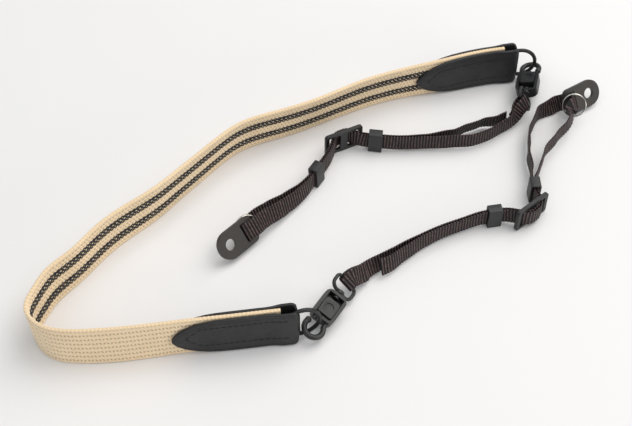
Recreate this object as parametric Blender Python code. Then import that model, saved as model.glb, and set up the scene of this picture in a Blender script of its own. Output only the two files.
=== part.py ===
"""Camera strap that lies in an open coil: wide knitted webbing on its lower edge, with a leather end,
a ring, a sliding-gate clasp and a thin adjustable lead at each end. Sizes are in millimetres, and the
objects are built in metres with +Z up, +X right and +Y away from the viewer."""
import math

import bpy
import bmesh
import numpy as np

MM = 0.001

# The coil on the table
coil_length = 250.0
coil_depth = 200.0
strap_step = 6.0

# Wide webbing
strap_width = 25.4
strap_thickness = 2.2

# Leather ends
leather_width = 24.4
leather_thickness = 1.6
leather_gap = 0.3
flap_length = 62.0
pocket_length = 9.4
pocket_half_gap = 2.3
pocket_blend = 7.0
waist_height = 13.6
shoulder_radius = 2.6
notch_clearance = 0.7

# Round rings in the leather ends
ring_radius = 9.0
ring_wire = 2.2
ring_out = 1.0

# Clasps
hook_radius = 5.0
hook_wire = 3.0
hook_ball = 3.6
hook_entry = 3.2
hook_tip_deg = -292.0
body_start = 5.4
body_length = 17.6
body_width = 12.5
body_height = 5.8
body_corner = 4.0
channel_width = 8.8
channel_depth = 4.0
front_wall = 1.8
back_wall = 1.8
block_corner = 1.8
block_rise = 1.2
dimple_radius = 2.7
dimple_share = 0.46
dimple_depth = 0.5
pin_radius = 0.9
pin_side = 2.9
clasp_clearance = 0.3
gate_travel = 2.4

# Eyes
eye_wire = 2.0
eye_width = 15.4
eye_corner = 2.2
eye_length = 9.6
stem_radius = 1.1
stem_head_radius = 1.8
stem_head_length = 1.0
collar_radius = 2.4
collar_length = 1.2

# Thin webbing of the leads
lead_width = 10.0
lead_thickness = 1.1
layer_gap = 0.3
lead_step = 1.9
sewn_length = 13.0
fold_clearance = 0.3
eye_straight = 2.5
eye_blend = 8.0
fold_blend = 6.0
fold_pinch = 0.9

# Keepers
keeper_length = 7.6
keeper_wall = 1.2
keeper_corner = 0.6
keeper_clearance = 0.35

# Buckles
buckle_length = 23.0
buckle_bar = 2.4
buckle_middle = 4.6
buckle_corner = 1.6
buckle_rail = 1.9
buckle_depth = 2.2
buckle_clearance = 0.35
bar_wrap = 0.7
bar_clearance = 0.5

# Lug protectors
protector_length = 25.0
protector_width = 15.4
protector_thickness = 1.9
protector_tail = 5.0
protector_corner = 3.4
protector_hole_radius = 3.1
protector_hole_share = 0.69
slot_clearance = 0.35

# Split rings
split_radius = 6.5
split_wire = 0.8
split_turns = 1.9
split_pitch = 1.05

# Finishes, and the pieces that have them by the end of their names
FINISH_COLUMNS = ("finish", "red", "green", "blue", "roughness", "metallic")
FINISH_ROWS = (
    ("sand_cotton", 0.68, 0.55, 0.38, 0.9, 0.0),
    ("black_leather", 0.022, 0.021, 0.021, 0.5, 0.0),
    ("black_metal", 0.012, 0.012, 0.013, 0.35, 0.8),
    ("dark_plastic", 0.035, 0.034, 0.034, 0.6, 0.0),
    ("black_nylon", 0.016, 0.013, 0.013, 0.6, 0.0),
    ("nickel", 0.62, 0.60, 0.56, 0.2, 1.0),
)
PIECE_FINISHES = {
    "shoulder_webbing": "sand_cotton",
    "leather_end": "black_leather",
    "_ring": "black_metal",
    "clasp_body": "dark_plastic",
    "clasp_gate": "dark_plastic",
    "clasp_eye": "dark_plastic",
    "lead_webbing": "black_nylon",
    "keeper": "dark_plastic",
    "buckle": "dark_plastic",
    "lug_protector": "dark_plastic",
    "split_ring": "nickel",
}
smooth_angle_deg = 35.0

# Plan of the wide webbing, from the far end round to the near end. Lean is the top's tilt to the
# inside of the coil.
STRAP_COLUMNS = ("x_share", "y_share", "lean_deg")
STRAP_ROWS = (
    (0.438, 0.516, -2.0),
    (0.389, 0.5035, -2.0),
    (0.292, 0.472, 1.0),
    (0.196, 0.443, 6.0),
    (0.100, 0.3965, 7.0),
    (0.007, 0.3355, 9.0),
    (-0.084, 0.281, 8.0),
    (-0.174, 0.227, 7.0),
    (-0.218, 0.172, 6.0),
    (-0.259, 0.109, 5.0),
    (-0.300, 0.046, 4.0),
    (-0.339, -0.015, 2.0),
    (-0.378, -0.064, 0.0),
    (-0.417, -0.113, -2.0),
    (-0.454, -0.173, -3.0),
    (-0.489, -0.235, -3.0),
    (-0.525, -0.293, -5.0),
    (-0.546, -0.350, -4.0),
    (-0.555, -0.400, -3.0),
    (-0.538, -0.441, -1.0),
    (-0.510, -0.467, 2.0),
    (-0.472, -0.476, 3.0),
    (-0.424, -0.4765, 4.0),
    (-0.365, -0.4695, 4.0),
    (-0.249, -0.4445, 2.0),
    (-0.168, -0.431, 2.0),
    (-0.091, -0.4175, 2.0),
    (-0.068, -0.4135, 2.0),
)

# The two ends. The ring stands in the leather's pocket and the clasp hangs on it: the hook's centre in
# shares of the ring's radius from the ring's centre, and the clasp's direction. The lead's heading is
# the one it has as it leaves the eye, and its tail stops this far from the eye, in millimetres.
END_COLUMNS = (
    "end", "ring_turn_deg", "ring_shift", "hook_ahead", "hook_side", "hook_up",
    "heading_deg", "rise_deg", "roll_deg", "eye_swivel_deg", "lead_heading_deg", "tail_start",
    "split_back", "split_side", "split_up", "split_heading_deg", "split_rise_deg",
)
END_ROWS = (
    (
        "near", 9.0, 0.45, 0.621, 0.113, -0.645, 58.4, 0.4, 23.0, 22.0, 40.0, 20.0,
        2.9, -6.2, -1.0, -99.0, 32.0,
    ),
    (
        "far", 8.6, 0.45, 0.76, 0.188, -0.505, -103.7, 4.6, 16.0, 104.0, 221.0, 13.4,
        2.8, -3.4, 0.45, -58.0, 38.4,
    ),
)

# Outline of a leather flap from its tip to the full width
FLAP_COLUMNS = ("length_share", "width_share")
FLAP_ROWS = (
    (0.0, 0.06),
    (0.02, 0.26),
    (0.05, 0.42),
    (0.09, 0.58),
    (0.14, 0.72),
    (0.20, 0.84),
    (0.27, 0.93),
    (0.36, 0.985),
    (0.48, 1.0),
    (1.0, 1.0),
)

# Leads, from the clasp's eye to the lug protector: places on the table from the eye, in shares of a
# reach that grows with the coil, heights in shares of the lead's height, and the extra distance of each layer from the middle in
# shares of the webbing's width. The tail can lean more than the main layer. A keeper, a buckle and the
# fold at the protector also have a heading.
reach_of_length = 0.64
reach_of_depth = 0.8
lead_height = 6.6
LEAD_COLUMNS = (
    "kind", "x_share", "y_share", "height_share", "lean_deg", "heading_deg", "main_share", "tail_share",
    "tail_lean_deg",
)
NEAR_LEAD_ROWS = (
    ("path", 0.044, 0.035, 1.12, 36.0, 0.0, 0.05, 0.05, 0.0),
    ("path", 0.080, 0.062, 1.02, 29.0, 0.0, 0.10, 0.22, 0.0),
    ("path", 0.123, 0.091, 0.95, 21.0, 0.0, 0.10, 0.26, 0.0),
    ("path", 0.181, 0.134, 0.92, 12.0, 0.0, 0.05, 0.12, 0.0),
    ("path", 0.250, 0.181, 0.92, 5.0, 0.0, 0.00, 0.02, 0.0),
    ("path", 0.319, 0.220, 0.93, 0.0, 0.0, 0.00, 0.00, 0.0),
    ("path", 0.388, 0.250, 0.95, -2.0, 0.0, 0.00, 0.00, 0.0),
    ("keeper", 0.492, 0.282, 1.00, -1.0, 10.0, 0.00, 0.00, 0.0),
    ("buckle", 0.617, 0.299, 1.10, 0.0, 40.5, 0.00, 0.00, 0.0),
    ("keeper", 0.639, 0.399, 1.00, 0.0, 92.0, 0.00, 0.00, 0.0),
    ("path", 0.649, 0.470, 0.98, 0.0, 0.0, 0.10, 0.10, 0.0),
    ("path", 0.670, 0.570, 0.96, 0.0, 0.0, 0.40, 0.32, 0.0),
    ("path", 0.709, 0.661, 1.02, 2.0, 0.0, 0.80, 0.62, 0.0),
    ("path", 0.750, 0.739, 1.15, 10.0, 0.0, 0.90, 0.90, 0.0),
    ("fold", 0.820, 0.811, 1.28, 34.0, 33.0, 0.55, 0.75, 0.0),
)
FAR_LEAD_ROWS = (
    ("path", -0.040, -0.041, 1.12, -10.0, 0.0, 0.12, 0.12, 0.0),
    ("path", -0.085, -0.073, 0.98, -2.0, 0.0, 0.18, 0.26, 10.0),
    ("path", -0.136, -0.104, 0.93, 0.0, 0.0, 0.24, 0.58, 16.0),
    ("path", -0.192, -0.131, 0.92, 0.0, 0.0, 0.24, 0.60, 16.0),
    ("path", -0.267, -0.149, 0.92, 0.0, 0.0, 0.08, 0.28, 6.0),
    ("path", -0.367, -0.160, 0.93, 0.0, 0.0, 0.00, 0.04, 0.0),
    ("path", -0.452, -0.164, 0.95, 0.0, 0.0, 0.00, 0.00, 0.0),
    ("keeper", -0.534, -0.158, 1.00, 0.0, 172.0, 0.00, 0.00, 0.0),
    ("buckle", -0.646, -0.158, 1.10, 0.0, 206.3, 0.00, 0.00, 0.0),
    ("keeper", -0.741, -0.314, 1.00, -4.0, 240.0, 0.00, 0.00, 0.0),
    ("path", -0.781, -0.379, 0.97, -10.0, 0.0, 0.03, 0.03, 0.0),
    ("path", -0.833, -0.439, 1.00, -20.0, 0.0, 0.08, 0.20, 0.0),
    ("path", -0.883, -0.486, 1.10, -30.0, 0.0, 0.16, 0.46, 0.0),
    ("path", -0.919, -0.521, 1.24, -35.0, 0.0, 0.14, 0.58, 0.0),
    ("fold", -0.969, -0.579, 1.34, -38.0, 227.0, 0.08, 0.62, 0.0),
)


def unit(vector):
    return vector / np.linalg.norm(vector)


def unit_rows(vectors):
    return vectors / np.linalg.norm(vectors, axis=1)[:, None]


def column(rows, columns, name):
    index = columns.index(name)
    return np.array([row[index] for row in rows], float)


def cubic_through(knots, values, samples):
    """Natural cubic spline through the values at the knots."""
    count = len(knots)
    gaps = np.diff(knots)
    system = np.zeros((count, count))
    right = np.zeros((count, values.shape[1]))
    system[0, 0] = 1.0
    system[-1, -1] = 1.0
    for row in range(1, count - 1):
        system[row, row - 1] = gaps[row - 1]
        system[row, row] = 2.0 * (gaps[row - 1] + gaps[row])
        system[row, row + 1] = gaps[row]
        rise = (values[row + 1] - values[row]) / gaps[row]
        fall = (values[row] - values[row - 1]) / gaps[row - 1]
        right[row] = 6.0 * (rise - fall)
    bend = np.linalg.solve(system, right)
    place = np.clip(np.searchsorted(knots, samples) - 1, 0, count - 2)
    gap = gaps[place][:, None]
    before = (samples - knots[place])[:, None]
    after = (knots[place + 1] - samples)[:, None]
    curve = (bend[place] * after ** 3 + bend[place + 1] * before ** 3) / (6.0 * gap)
    curve += (values[place] / gap - bend[place] * gap / 6.0) * after
    curve += (values[place + 1] / gap - bend[place + 1] * gap / 6.0) * before
    return curve


class Track:
    """A path with a frame at each distance: along, across (the webbing's width) and out (its thickness)."""

    def __init__(self, points, leans, fine=0.5):
        chords = np.linalg.norm(np.diff(points, axis=0), axis=1)
        knots = np.concatenate([[0.0], np.cumsum(chords)])
        values = np.column_stack([points, leans])
        samples = np.linspace(0.0, knots[-1], max(8, int(knots[-1] / fine)))
        smooth = cubic_through(knots, values, samples)
        steps = np.linalg.norm(np.diff(smooth[:, :3], axis=0), axis=1)
        self.distance = np.concatenate([[0.0], np.cumsum(steps)])
        self.length = float(self.distance[-1])
        self.points = smooth[:, :3]
        self.leans = smooth[:, 3]
        self.knots = np.interp(knots, samples, self.distance)

    def place(self, distance):
        inside = min(max(distance, 0.0), self.length)
        spread = 0.4
        low = min(max(inside - spread, 0.0), self.length - 2.0 * spread)
        ends = [np.array([np.interp(value, self.distance, self.points[:, axis]) for axis in range(3)])
                for value in (low, low + 2.0 * spread)]
        along = unit(ends[1] - ends[0])
        point = np.array([np.interp(inside, self.distance, self.points[:, axis]) for axis in range(3)])
        lean = math.radians(float(np.interp(inside, self.distance, self.leans)))
        side = unit(np.array([-along[1], along[0], 0.0]))
        up = np.cross(along, side)
        across = up * math.cos(lean) + side * math.sin(lean)
        out = side * math.cos(lean) - up * math.sin(lean)
        return point + along * (distance - inside), along, across, out


def smooth_step(value):
    value = min(max(value, 0.0), 1.0)
    return value * value * (3.0 - 2.0 * value)


def add_object(name, points, faces):
    mesh = bpy.data.meshes.new(name)
    mesh.from_pydata([tuple(np.asarray(point) * MM) for point in points], [], faces)
    mesh.update()
    obj = bpy.data.objects.new(name, mesh)
    bpy.context.collection.objects.link(obj)
    work = bmesh.new()
    work.from_mesh(mesh)
    bmesh.ops.recalc_face_normals(work, faces=work.faces)
    work.to_mesh(mesh)
    work.free()
    return obj


def skin(name, sections, closed=False):
    """Closed solid through a list of equal loops of points."""
    size = len(sections[0])
    points = [point for section in sections for point in section]
    count = len(sections)
    faces = []
    for index in range(count if closed else count - 1):
        here = index * size
        there = ((index + 1) % count) * size
        for corner in range(size):
            after = (corner + 1) % size
            faces.append((here + corner, here + after, there + after, there + corner))
    if not closed:
        faces.append(tuple(range(size))[::-1])
        faces.append(tuple((count - 1) * size + corner for corner in range(size)))
    return add_object(name, points, faces)


def strip_section(centre, across, out, width, thickness):
    half_width = width / 2.0
    half = thickness / 2.0
    corners = ((-1, -1), (1, -1), (1, 1), (-1, 1))
    return [centre + across * half_width * a + out * half * b for a, b in corners]


def soft_strip_section(centre, across, out, width, thickness):
    """Strip section whose two edges are rounded by a bevel of a third of the thickness."""
    half_width = width / 2.0
    half = thickness / 2.0
    bevel = thickness / 3.0
    corners = (
        (-half_width + bevel, -half), (half_width - bevel, -half), (half_width, -half + bevel),
        (half_width, half - bevel), (half_width - bevel, half), (-half_width + bevel, half),
        (-half_width, half - bevel), (-half_width, -half + bevel),
    )
    return [centre + across * a + out * b for a, b in corners]


def circle_loop(centre, first, second, radius, sides):
    angles = [2.0 * math.pi * index / sides for index in range(sides)]
    return [centre + (first * math.cos(a) + second * math.sin(a)) * radius for a in angles]


def torus(name, centre, first, second, radius, wire, steps, sides):
    normal = unit(np.cross(first, second))
    sections = []
    for index in range(steps):
        angle = 2.0 * math.pi * index / steps
        ray = first * math.cos(angle) + second * math.sin(angle)
        sections.append(circle_loop(centre + ray * radius, ray, normal, wire / 2.0, sides))
    return skin(name, sections, closed=True)


def prism(name, outline, frame, low, high):
    """Solid between two levels, from a flat outline of (x, y) pairs in a frame."""
    origin, first, second, third = frame
    bottom = [origin + first * x + second * y + third * low for x, y in outline]
    top = [origin + first * x + second * y + third * high for x, y in outline]
    return skin(name, [bottom, top])


def rounded_box_outline(x_low, x_high, y_low, y_high, radii, steps=4):
    """Corner radii are listed from the low x, low y corner and go round anticlockwise."""
    corners = (
        (x_low, y_low, 1, 1, 180.0), (x_high, y_low, -1, 1, 270.0),
        (x_high, y_high, -1, -1, 0.0), (x_low, y_high, 1, -1, 90.0),
    )
    outline = []
    for (x, y, to_x, to_y, start), radius in zip(corners, radii):
        if radius <= 0.0:
            outline.append((x, y))
            continue
        for index in range(steps + 1):
            angle = math.radians(start + 90.0 * index / steps)
            centre_x = x + to_x * radius
            centre_y = y + to_y * radius
            outline.append((centre_x + radius * math.cos(angle), centre_y + radius * math.sin(angle)))
    return outline


def combine(target, other, operation):
    """Apply an exact Boolean to the target and remove the other object."""
    modifier = target.modifiers.new("cut", "BOOLEAN")
    modifier.operation = operation
    modifier.solver = "EXACT"
    modifier.object = other
    graph = bpy.context.evaluated_depsgraph_get()
    result = bpy.data.meshes.new_from_object(target.evaluated_get(graph))
    target.modifiers.clear()
    old = target.data
    target.data = result
    bpy.data.meshes.remove(old)
    bpy.data.objects.remove(other, do_unlink=True)


# Wide webbing

def strap_track():
    x = column(STRAP_ROWS, STRAP_COLUMNS, "x_share") * coil_length
    y = column(STRAP_ROWS, STRAP_COLUMNS, "y_share") * coil_depth
    leans = column(STRAP_ROWS, STRAP_COLUMNS, "lean_deg")
    tilt = np.radians(np.abs(leans))
    z = strap_width / 2.0 * np.cos(tilt) + strap_thickness / 2.0 * np.sin(tilt)
    forward = unit_rows(np.column_stack([np.gradient(x), np.gradient(y)]))
    inward = strap_width / 2.0 * np.sin(np.radians(leans))
    x = x - forward[:, 1] * inward
    y = y + forward[:, 0] * inward
    return Track(np.column_stack([x, y, z]), leans)


def shoulder_webbing(track):
    count = int(round(track.length / strap_step))
    sections = []
    for index in range(count + 1):
        point, along, across, out = track.place(track.length * index / count)
        sections.append(soft_strip_section(point, across, out, strap_width, strap_thickness))
    skin("shoulder_webbing", sections)


# Leather ends

def flap_offset(depth):
    """Distance of the leather's middle from the strap's middle, at a depth behind the fold's start."""
    snug = strap_thickness / 2.0 + leather_gap
    share = smooth_step((depth - pocket_length * 0.45) / pocket_blend)
    return pocket_half_gap + (snug - pocket_half_gap) * share + leather_thickness / 2.0


def leather_height(depth):
    """Leather's height at a depth behind the ring's notch: rounded shoulders, then the flap's outline."""
    lengths = column(FLAP_ROWS, FLAP_COLUMNS, "length_share")
    widths = column(FLAP_ROWS, FLAP_COLUMNS, "width_share")
    full = float(np.interp(1.0 - depth / flap_length, lengths, widths)) * leather_width
    if depth < shoulder_radius:
        rest = 1.0 - max(depth, 0.0) / shoulder_radius
        full -= 2.0 * shoulder_radius * (1.0 - math.sqrt(max(0.0, 1.0 - rest * rest)))
    return full


def leather_end(name, track, at_start):
    """One leather piece: a flap on each side of the strap's end, folded round the ring, with a notch in
    each edge of the fold where the ring comes out."""
    sign = -1.0 if at_start else 1.0
    end = 0.0 if at_start else track.length
    bend_radius = pocket_half_gap + leather_thickness / 2.0
    fold_start = end + sign * (pocket_length - bend_radius - leather_thickness / 2.0)
    notch_angle = math.acos((ring_wire / 2.0 + notch_clearance) / bend_radius)
    arc = bend_radius * notch_angle
    shares = column(FLAP_ROWS, FLAP_COLUMNS, "length_share")
    depths = [flap_length * (1.0 - share) for share in shares[:-1]]
    depths += [flap_length * 0.40, flap_length * 0.30, pocket_length * 0.45 + pocket_blend]
    depths += [pocket_length * 0.45 + pocket_blend * 0.6, pocket_length * 0.45 + pocket_blend * 0.3]
    depths += [pocket_length * 0.45, arc]
    front = []
    back = []
    for depth in depths:
        point, along, across, out = track.place(fold_start - sign * (depth - arc))
        height = leather_height(depth)
        offset = out * flap_offset(depth - arc)
        front.append(strip_section(point + offset, across, out, height, leather_thickness))
        back.append(strip_section(point - offset, across, -out, height, leather_thickness))
    point, along, across, out = track.place(fold_start)
    ahead = along * sign

    def arc_section(angle, height):
        ray = out * math.cos(angle) + ahead * math.sin(angle)
        return strip_section(point + ray * bend_radius, across, ray, height, leather_thickness)

    turn_front = []
    turn_back = []
    for share in (0.3, 0.55, 0.78, 0.92, 1.0):
        height = leather_height(arc * (1.0 - share))
        turn_front.append(arc_section(notch_angle * share, height))
        turn_back.append(arc_section(math.pi - notch_angle * share, height))
    notch = []
    for share in (0.02, 0.25, 0.5, 0.75, 0.98):
        angle = notch_angle + (math.pi - 2.0 * notch_angle) * share
        notch.append(arc_section(angle, waist_height))
    skin(name, front + turn_front + notch + turn_back[::-1] + back[::-1])


def ring_frame(track, at_start, turn_deg, shift):
    sign = -1.0 if at_start else 1.0
    end = 0.0 if at_start else track.length
    point, along, across, out = track.place(end + sign * (pocket_length + ring_out))
    ahead = along * sign
    turn = math.radians(turn_deg)
    radial = ahead * math.cos(turn) + out * math.sin(turn)
    return point + out * shift, radial, across, unit(np.cross(radial, across))


# Clasps. The clasp's frame starts at the hook's centre: along to the eye, side, and face.

def clasp_frame(origin, heading_deg, rise_deg, roll_deg):
    heading = math.radians(heading_deg)
    rise = math.radians(rise_deg)
    roll = math.radians(roll_deg)
    flat = np.array([math.cos(heading), math.sin(heading), 0.0])
    along = flat * math.cos(rise) + np.array([0.0, 0.0, math.sin(rise)])
    left = np.array([-math.sin(heading), math.cos(heading), 0.0])
    up = np.cross(along, left)
    side = left * math.cos(roll) + up * math.sin(roll)
    face = up * math.cos(roll) - left * math.sin(roll)
    return origin, along, side, face


def in_frame(frame, x, y, z):
    origin, along, side, face = frame
    return origin + along * x + side * y + face * z


def hook_solid(name, frame):
    """Round-wire hook: from inside the body, round the loop, to the ball at its tip."""
    origin, along, side, face = frame
    start = -math.degrees(math.acos(min(1.0, hook_entry / hook_radius)))
    path = []
    for index in range(25):
        angle = math.radians(start + (hook_tip_deg - start) * index / 24.0)
        path.append((hook_radius * math.cos(angle), hook_radius * math.sin(angle), angle))
    lead_in = (body_start + front_wall * 0.6, path[0][1])
    sections = []
    radius = hook_wire / 2.0
    centre = in_frame(frame, lead_in[0], lead_in[1], 0.0)
    sections.append(circle_loop(centre, side, face, radius, 10))
    for x, y, angle in path:
        centre = in_frame(frame, x, y, 0.0)
        ray = along * math.cos(angle) + side * math.sin(angle)
        if angle == path[0][2]:
            ray = unit(ray - side * 0.6)
            sections.append(circle_loop(centre, -ray, face, radius, 10))
            continue
        sections.append(circle_loop(centre, -ray, face, radius, 10))
    return skin(name, sections), path[-1]


def ball(name, centre, frame, radius, rings=6, sides=10):
    origin, along, side, face = frame
    points = [centre - along * radius]
    for ring in range(1, rings):
        angle = math.pi * ring / rings
        for index in range(sides):
            turn = 2.0 * math.pi * index / sides
            ray = side * math.cos(turn) + face * math.sin(turn)
            points.append(centre - along * radius * math.cos(angle) + ray * radius * math.sin(angle))
    points.append(centre + along * radius)
    faces = []
    last = len(points) - 1
    for index in range(sides):
        after = (index + 1) % sides
        faces.append((0, 1 + after, 1 + index))
        for ring in range(rings - 2):
            here = 1 + ring * sides
            faces.append((here + index, here + after, here + sides + after, here + sides + index))
        here = 1 + (rings - 2) * sides
        faces.append((last, here + index, here + after))
    return add_object(name, points, faces)


def cylinder(name, start, end, radius, sides):
    axis = unit(end - start)
    first = unit(np.cross(axis, np.array([0.3, 0.5, 0.9])))
    second = np.cross(axis, first)
    return skin(name, [circle_loop(start, first, second, radius, sides), circle_loop(end, first, second, radius, sides)])


def box_in_frame(name, frame, x_low, x_high, y_low, y_high, z_low, z_high):
    outline = ((x_low, y_low), (x_high, y_low), (x_high, y_high), (x_low, y_high))
    return prism(name, outline, frame, z_low, z_high)


def clasp(prefix, frame):
    """Clasp body with its hook, and the sliding gate block with its pin. Gives the gate and a point on its
    pin's axis."""
    body_end = body_start + body_length
    half_width = body_width / 2.0
    half_height = body_height / 2.0
    radii = (body_corner * 0.7, body_corner, body_corner, body_corner * 0.7)
    outline = rounded_box_outline(body_start, body_end, -half_width, half_width, radii)
    body = prism(prefix + "_clasp_body", outline, frame, -half_height, half_height)
    hook, tip = hook_solid(prefix + "_hook", frame)
    combine(body, hook, "UNION")
    tip_ball = ball(prefix + "_ball", in_frame(frame, tip[0], tip[1], 0.0), frame, hook_ball / 2.0)
    combine(body, tip_ball, "UNION")
    floor = half_height - channel_depth
    channel = box_in_frame(
        prefix + "_channel", frame, body_start + front_wall, body_end - back_wall,
        -channel_width / 2.0, channel_width / 2.0, floor, half_height + 1.0,
    )
    combine(body, channel, "DIFFERENCE")
    pin_height = floor + clasp_clearance + pin_radius + 0.5
    slot_half = pin_radius + clasp_clearance
    slot = box_in_frame(
        prefix + "_slot", frame, body_start - 1.0, body_start + front_wall + 1.0,
        pin_side - slot_half, pin_side + slot_half, pin_height - slot_half, half_height + 1.0,
    )
    combine(body, slot, "DIFFERENCE")
    bore = cylinder(
        prefix + "_bore", in_frame(frame, body_end - back_wall - 1.0, 0.0, stem_height()),
        in_frame(frame, body_end + 1.0, 0.0, stem_height()), stem_radius + clasp_clearance, 14,
    )
    combine(body, bore, "DIFFERENCE")

    block_start, block_end = block_span()
    block_half = channel_width / 2.0 - clasp_clearance
    block_radii = (block_corner / 2.0, block_corner, block_corner, block_corner / 2.0)
    block_outline = rounded_box_outline(block_start, block_end, -block_half, block_half, block_radii, 3)
    gate = prism(prefix + "_clasp_gate", block_outline, frame, floor + clasp_clearance, half_height + block_rise)
    dimple_centre = block_start + (block_end - block_start) * dimple_share
    dimple = cylinder(
        prefix + "_dimple", in_frame(frame, dimple_centre, 0.0, half_height + block_rise - dimple_depth),
        in_frame(frame, dimple_centre, 0.0, half_height + block_rise + 1.0), dimple_radius, 20,
    )
    combine(gate, dimple, "DIFFERENCE")
    pin_start = tip[0] + math.sqrt(max(0.2, (hook_ball / 2.0) ** 2 - (tip[1] - pin_side - pin_radius) ** 2))
    pin = cylinder(
        prefix + "_pin", in_frame(frame, pin_start + clasp_clearance, pin_side, pin_height),
        in_frame(frame, block_start + 1.0, pin_side, pin_height), pin_radius, 12,
    )
    combine(gate, pin, "UNION")
    return gate, in_frame(frame, block_start, pin_side, pin_height)


def stem_height():
    return body_height / 2.0 - channel_depth + stem_head_radius + clasp_clearance


def stem_start():
    """Where the head of the eye's stem begins inside the channel."""
    return body_start + body_length - back_wall - clasp_clearance - stem_head_length


def block_span():
    """Start and end of the sliding block, which has room for its travel before the stem's head."""
    return body_start + front_wall + clasp_clearance, stem_start() - clasp_clearance - gate_travel


def clasp_eye(prefix, frame, swivel_deg):
    """Rounded oblong eye with a stem, a collar and a head inside the body's channel."""
    origin, along, side, face = frame
    swivel = math.radians(swivel_deg)
    wide = side * math.cos(swivel) + face * math.sin(swivel)
    deep = face * math.cos(swivel) - side * math.sin(swivel)
    axis_origin = origin + face * stem_height()
    body_end = body_start + body_length
    near_bar = body_end + clasp_clearance + collar_length
    far_bar = near_bar + eye_length - eye_wire
    half = (eye_width - eye_wire) / 2.0
    corners = (eye_corner * 1.5, eye_corner, eye_corner, eye_corner * 1.5)
    outline = rounded_box_outline(near_bar, far_bar, -half, half, corners, 4)
    sections = []
    count = len(outline)
    for index in range(count):
        before = np.array(outline[index - 1])
        after = np.array(outline[(index + 1) % count])
        tangent = unit(after - before)
        x, y = outline[index]
        centre = axis_origin + along * x + wide * y
        ray = along * tangent[1] - wide * tangent[0]
        sections.append(circle_loop(centre, ray, deep, eye_wire / 2.0, 8))
    eye = skin(prefix + "_clasp_eye", sections, closed=True)
    profile = (
        (stem_start(), stem_head_radius),
        (stem_start() + stem_head_length, stem_head_radius),
        (stem_start() + stem_head_length, stem_radius),
        (body_end + clasp_clearance, stem_radius),
        (body_end + clasp_clearance, collar_radius),
        (near_bar + eye_wire * 0.3, collar_radius),
    )
    stem = skin(prefix + "_stem", [
        circle_loop(axis_origin + along * place, side, face, radius, 14) for place, radius in profile
    ])
    combine(eye, stem, "UNION")
    return axis_origin + along * far_bar, wide


# Leads

class Lead:
    """One lead: its middle path, where its hardware sits, and how far its layers stand apart."""

    def __init__(self, start, across, heading_deg, rows, tail_start):
        heading = math.radians(heading_deg)
        along = np.array([math.cos(heading), math.sin(heading), 0.0])
        along = unit(along - across * float(along @ across))
        left = unit(np.array([-along[1], along[0], 0.0]))
        up = np.cross(along, left)
        first_lean = math.degrees(math.atan2(float(across @ left), float(across @ up)))
        points = [np.array([*start, first_lean]), np.array([*(start + along * eye_straight), first_lean])]
        spreads = [(0.0, 0.0), (0.0, 0.0)]
        tail_leans = [0.0, 0.0]
        found = []
        for kind, x, y, height, lean, heading, main, tail, tail_lean in rows:
            ahead_x = x * reach_of_length * coil_length
            ahead_y = y * reach_of_depth * coil_depth
            centre = np.array([start[0] + ahead_x, start[1] + ahead_y, height * lead_height, lean])
            turn = math.radians(heading)
            ahead = np.array([math.cos(turn), math.sin(turn), 0.0, 0.0])
            side = np.array([-math.sin(turn), math.cos(turn), 0.0, 0.0])
            if kind == "path":
                steps = ((0.0, 0.0),)
            elif kind == "keeper":
                steps = tuple((keeper_length * share, 0.0) for share in (-0.6, -0.3, 0.0, 0.3, 0.6))
            elif kind == "buckle":
                inside = buckle_length / 2.0 - buckle_bar - bar_wrap
                clear = buckle_depth / 2.0 + bar_clearance + layer_gap / 2.0 + lead_thickness
                flat = buckle_middle * 0.4
                steps = ((-inside, clear), (-flat, -clear), (0.0, -clear), (flat, -clear), (inside, clear))
            else:
                steps = tuple((protector_tail * share, 0.0) for share in (-1.4, -1.0, -0.5, 0.0, 0.4))
            for ahead_by, side_by in steps:
                if ahead_by == 0.0:
                    found.append((kind, len(points), centre[:3], ahead[:3], side[:3], lean))
                points.append(centre + ahead * ahead_by + side * side_by)
                opening = 1.0
                if kind == "fold":
                    opening = min(max(-ahead_by / protector_tail - 0.1, 0.0), 1.0)
                spreads.append((main * opening, tail * opening))
                tail_leans.append(tail_lean)
        points = np.array(points)
        self.track = Track(points[:, :3], points[:, 3])
        self.spreads = np.array(spreads) * lead_width
        self.tail_leans = tail_leans
        self.tail_start = tail_start
        self.hardware = [item for item in found if item[0] != "path"]
        self.fold_at = float(self.track.knots[self.hardware[-1][1]])

    def frame(self, number):
        """Place and directions of a piece of hardware, in the order of the table."""
        kind, index, centre, ahead, side, lean = self.hardware[number]
        tilt = math.radians(lean)
        up = np.array([0.0, 0.0, 1.0])
        across = up * math.cos(tilt) + side * math.sin(tilt)
        out = side * math.cos(tilt) - up * math.sin(tilt)
        return centre, ahead, across, out

    def tail_across(self, distance, across, out):
        """Direction of the tail's width, which leans more than the main layer's."""
        lean = math.radians(float(np.interp(distance, self.track.knots, self.tail_leans)))
        return across * math.cos(lean) + out * math.sin(lean)

    def layer_offset(self, distance, layer):
        """Sideways place of a layer: half the stack and the extra distance of its rows."""
        knots = self.track.knots
        place = int(np.clip(np.searchsorted(knots, distance) - 1, 0, len(knots) - 2))
        share = smooth_step((distance - knots[place]) / (knots[place + 1] - knots[place]))
        here, there = self.spreads[place:place + 2, 0 if layer == "main" else 1]
        sign = 1.0 if layer == "main" else -1.0
        snug = (lead_thickness + layer_gap) / 2.0
        to_fold = smooth_step((self.fold_at - distance - protector_tail) / fold_blend)
        snug = slot_fold_radius() + (snug - slot_fold_radius()) * to_fold
        return sign * (snug + here + (there - here) * share)


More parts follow.
